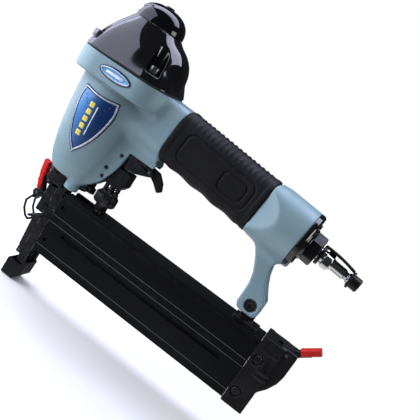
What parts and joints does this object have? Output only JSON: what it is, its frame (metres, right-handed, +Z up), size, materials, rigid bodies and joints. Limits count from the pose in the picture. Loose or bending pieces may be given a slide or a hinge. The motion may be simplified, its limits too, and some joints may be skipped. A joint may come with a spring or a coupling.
{
  "type": "pneumatic nail gun",
  "caption": "Handheld pneumatic brad nailer with oval barrel and cap, rubber grip, safety contact tip, quick-release nose and slide-open magazine under the handle.",
  "frame": {"origin": "centre of the contact tip's lower face, on the firing axis", "axes": "+Z up along the firing axis from the tip towards the exhaust deflector; +X from the firing axis towards the handle, magazine tail and air inlet; -Y is the tool's left side"},
  "size_m": [0.2626, 0.065, 0.2396],
  "materials": {
    "casting_paint": "satin baked enamel on die-cast aluminium",
    "cap_paint": "gloss black enamel",
    "deflector_plastic": "moulded, high gloss",
    "grip_rubber": "moulded matte rubber",
    "seal_rubber": "nitrile rings and gaskets",
    "bumper_urethane": "cast polyurethane",
    "anodised_black": "black anodised extrusion",
    "black_steel": "blackened steel",
    "bright_steel": "plain machined steel",
    "plated_steel": "bright nickel plate",
    "raw_aluminium": "machined",
    "valve_brass": "turned",
    "black_plastic": "moulded",
    "red_plastic": "dipped sleeve",
    "badge_blue": "printed foil, plain pattern"
  },
  "bodies": {
    "root": {"gun_body": "casting_paint", "cylinder_sleeve": "raw_aluminium", "sleeve_oring": "seal_rubber", "piston_bumper": "bumper_urethane", "head_valve_spring": "bright_steel", "cylinder_cap": "cap_paint", "cap_gasket": "seal_rubber", "cap_bolts": "bright_steel", "deflector_screw": "black_steel", "rubber_grip": "grip_rubber", "end_cap": "cap_paint", "end_cap_screws": "black_steel", "inlet_adaptor": "black_steel", "air_plug": "plated_steel", "dust_cap_strap": "black_plastic", "trigger_pin": "black_steel", "trigger_valve_body": "valve_brass", "trigger_valve_orings": "seal_rubber", "trigger_valve_spring": "bright_steel", "safety_guide": "black_plastic", "guide_pins": "black_steel", "contact_spring": "bright_steel", "nosepiece": "black_steel", "nose_screws": "black_steel", "latch_base": "black_steel", "latch_pin": "bright_steel", "door_pin": "bright_steel", "magazine_body": "anodised_black", "pusher_spring": "bright_steel", "magazine_bracket": "black_steel", "bracket_bolt": "black_steel", "bracket_nut": "black_steel", "oval_badge": "badge_blue", "shield_badge": "badge_blue"},
    "piston": {"piston_head": "raw_aluminium", "piston_oring": "seal_rubber", "driver_blade": "bright_steel"},
    "head_valve": {"head_valve": "raw_aluminium", "head_valve_oring": "seal_rubber"},
    "deflector": {"exhaust_deflector": "deflector_plastic"},
    "dust_cap": {"dust_cap": "black_plastic"},
    "trigger": {"trigger": "black_steel", "lever_pin": "bright_steel"},
    "contact_lever": {"contact_lever": "bright_steel"},
    "lock_lever": {"lock_lever": "black_plastic"},
    "valve_stem": {"trigger_valve_stem": "bright_steel"},
    "contact": {"contact_yoke": "black_steel", "contact_arm": "black_steel", "no_mar_tip": "black_plastic"},
    "depth_wheel": {"depth_wheel": "black_steel"},
    "latch_lever": {"latch_lever": "red_plastic"},
    "latch_bail": {"latch_bail": "black_steel"},
    "nose_door": {"nose_door": "black_steel"},
    "slide": {"magazine_slide": "anodised_black", "tail_block": "black_plastic", "tail_screws": "black_steel", "release_pin": "bright_steel", "release_spring": "bright_steel"},
    "release": {"magazine_release": "red_plastic"},
    "pusher": {"pusher": "bright_steel"}
  },
  "joints": [
    {"name": "piston_stroke", "type": "slide", "parent": "root", "child": "piston", "axis": [0, 0, -1], "range_m": [0, 0.0685]},
    {"name": "head_valve_lift", "type": "slide", "parent": "root", "child": "head_valve", "axis": [0, 0, 1], "range_m": [0, 0.005], "deforming": ["head_valve_spring"]},
    {"name": "deflector_turn", "type": "hinge", "parent": "root", "child": "deflector", "pos_m": [0.001, 0, 0.228], "axis": [0, 0, 1], "continuous": true},
    {"name": "trigger_pull", "type": "hinge", "parent": "root", "child": "trigger", "pos_m": [0.0304, 0, 0.1315], "axis": [0, -1, 0], "range_deg": [0, 5]},
    {"name": "contact_lever_tilt", "type": "hinge", "parent": "trigger", "child": "contact_lever", "pos_m": [0.0542, 0, 0.1326], "axis": [0, -1, 0], "range_deg": [0, 6]},
    {"name": "lock_lever_swing", "type": "hinge", "parent": "trigger", "child": "lock_lever", "pos_m": [0.0542, 0, 0.1326], "axis": [0, -1, 0], "range_deg": [0, 15]},
    {"name": "valve_stem_lift", "type": "slide", "parent": "root", "child": "valve_stem", "axis": [0, 0, 1], "range_m": [0, 0.0015], "deforming": ["trigger_valve_spring"]},
    {"name": "contact_press", "type": "slide", "parent": "root", "child": "contact", "axis": [0, 0, 1], "range_m": [0, 0.006], "deforming": ["contact_spring"]},
    {"name": "depth_wheel_turn", "type": "hinge", "parent": "contact", "child": "depth_wheel", "pos_m": [0.0346, 0, 0.096], "axis": [0, 0, 1], "continuous": true},
    {"name": "latch_open", "type": "hinge", "parent": "root", "child": "latch_lever", "pos_m": [-0.0145, 0, 0.0685], "axis": [0, -1, 0], "range_deg": [0, 70]},
    {"name": "bail_swing", "type": "hinge", "parent": "latch_lever", "child": "latch_bail", "pos_m": [-0.016, 0, 0.0637], "axis": [0, -1, 0], "range_deg": [-155, 0]},
    {"name": "door_swing", "type": "hinge", "parent": "root", "child": "nose_door", "pos_m": [-0.003, 0, 0.0224], "axis": [0, -1, 0], "range_deg": [0, 21.5]},
    {"name": "magazine_open", "type": "slide", "parent": "root", "child": "slide", "axis": [1, 0, 0], "range_m": [0, 0.14]},
    {"name": "release_press", "type": "hinge", "parent": "slide", "child": "release", "pos_m": [0.2095, 0, 0.0845], "axis": [0, 1, 0], "range_deg": [0, 10], "deforming": ["release_spring"]},
    {"name": "pusher_feed", "type": "slide", "parent": "root", "child": "pusher", "axis": [1, 0, 0], "range_m": [0, 0.128], "deforming": ["pusher_spring"]},
    {"name": "dust_cap_swing", "type": "hinge", "parent": "root", "child": "dust_cap", "pos_m": [0.22022, 0, 0.18707], "axis": [0, -1, 0], "range_deg": [0, 100]}
  ],
  "couplings": [
    {"joint": "valve_stem_lift", "follows": "trigger_pull", "m_per_rad": 0.0166},
    {"joint": "bail_swing", "follows": "latch_open", "ratio": -2.2},
    {"joint": "door_swing", "follows": "latch_open", "ratio": 0.3}
  ]
}
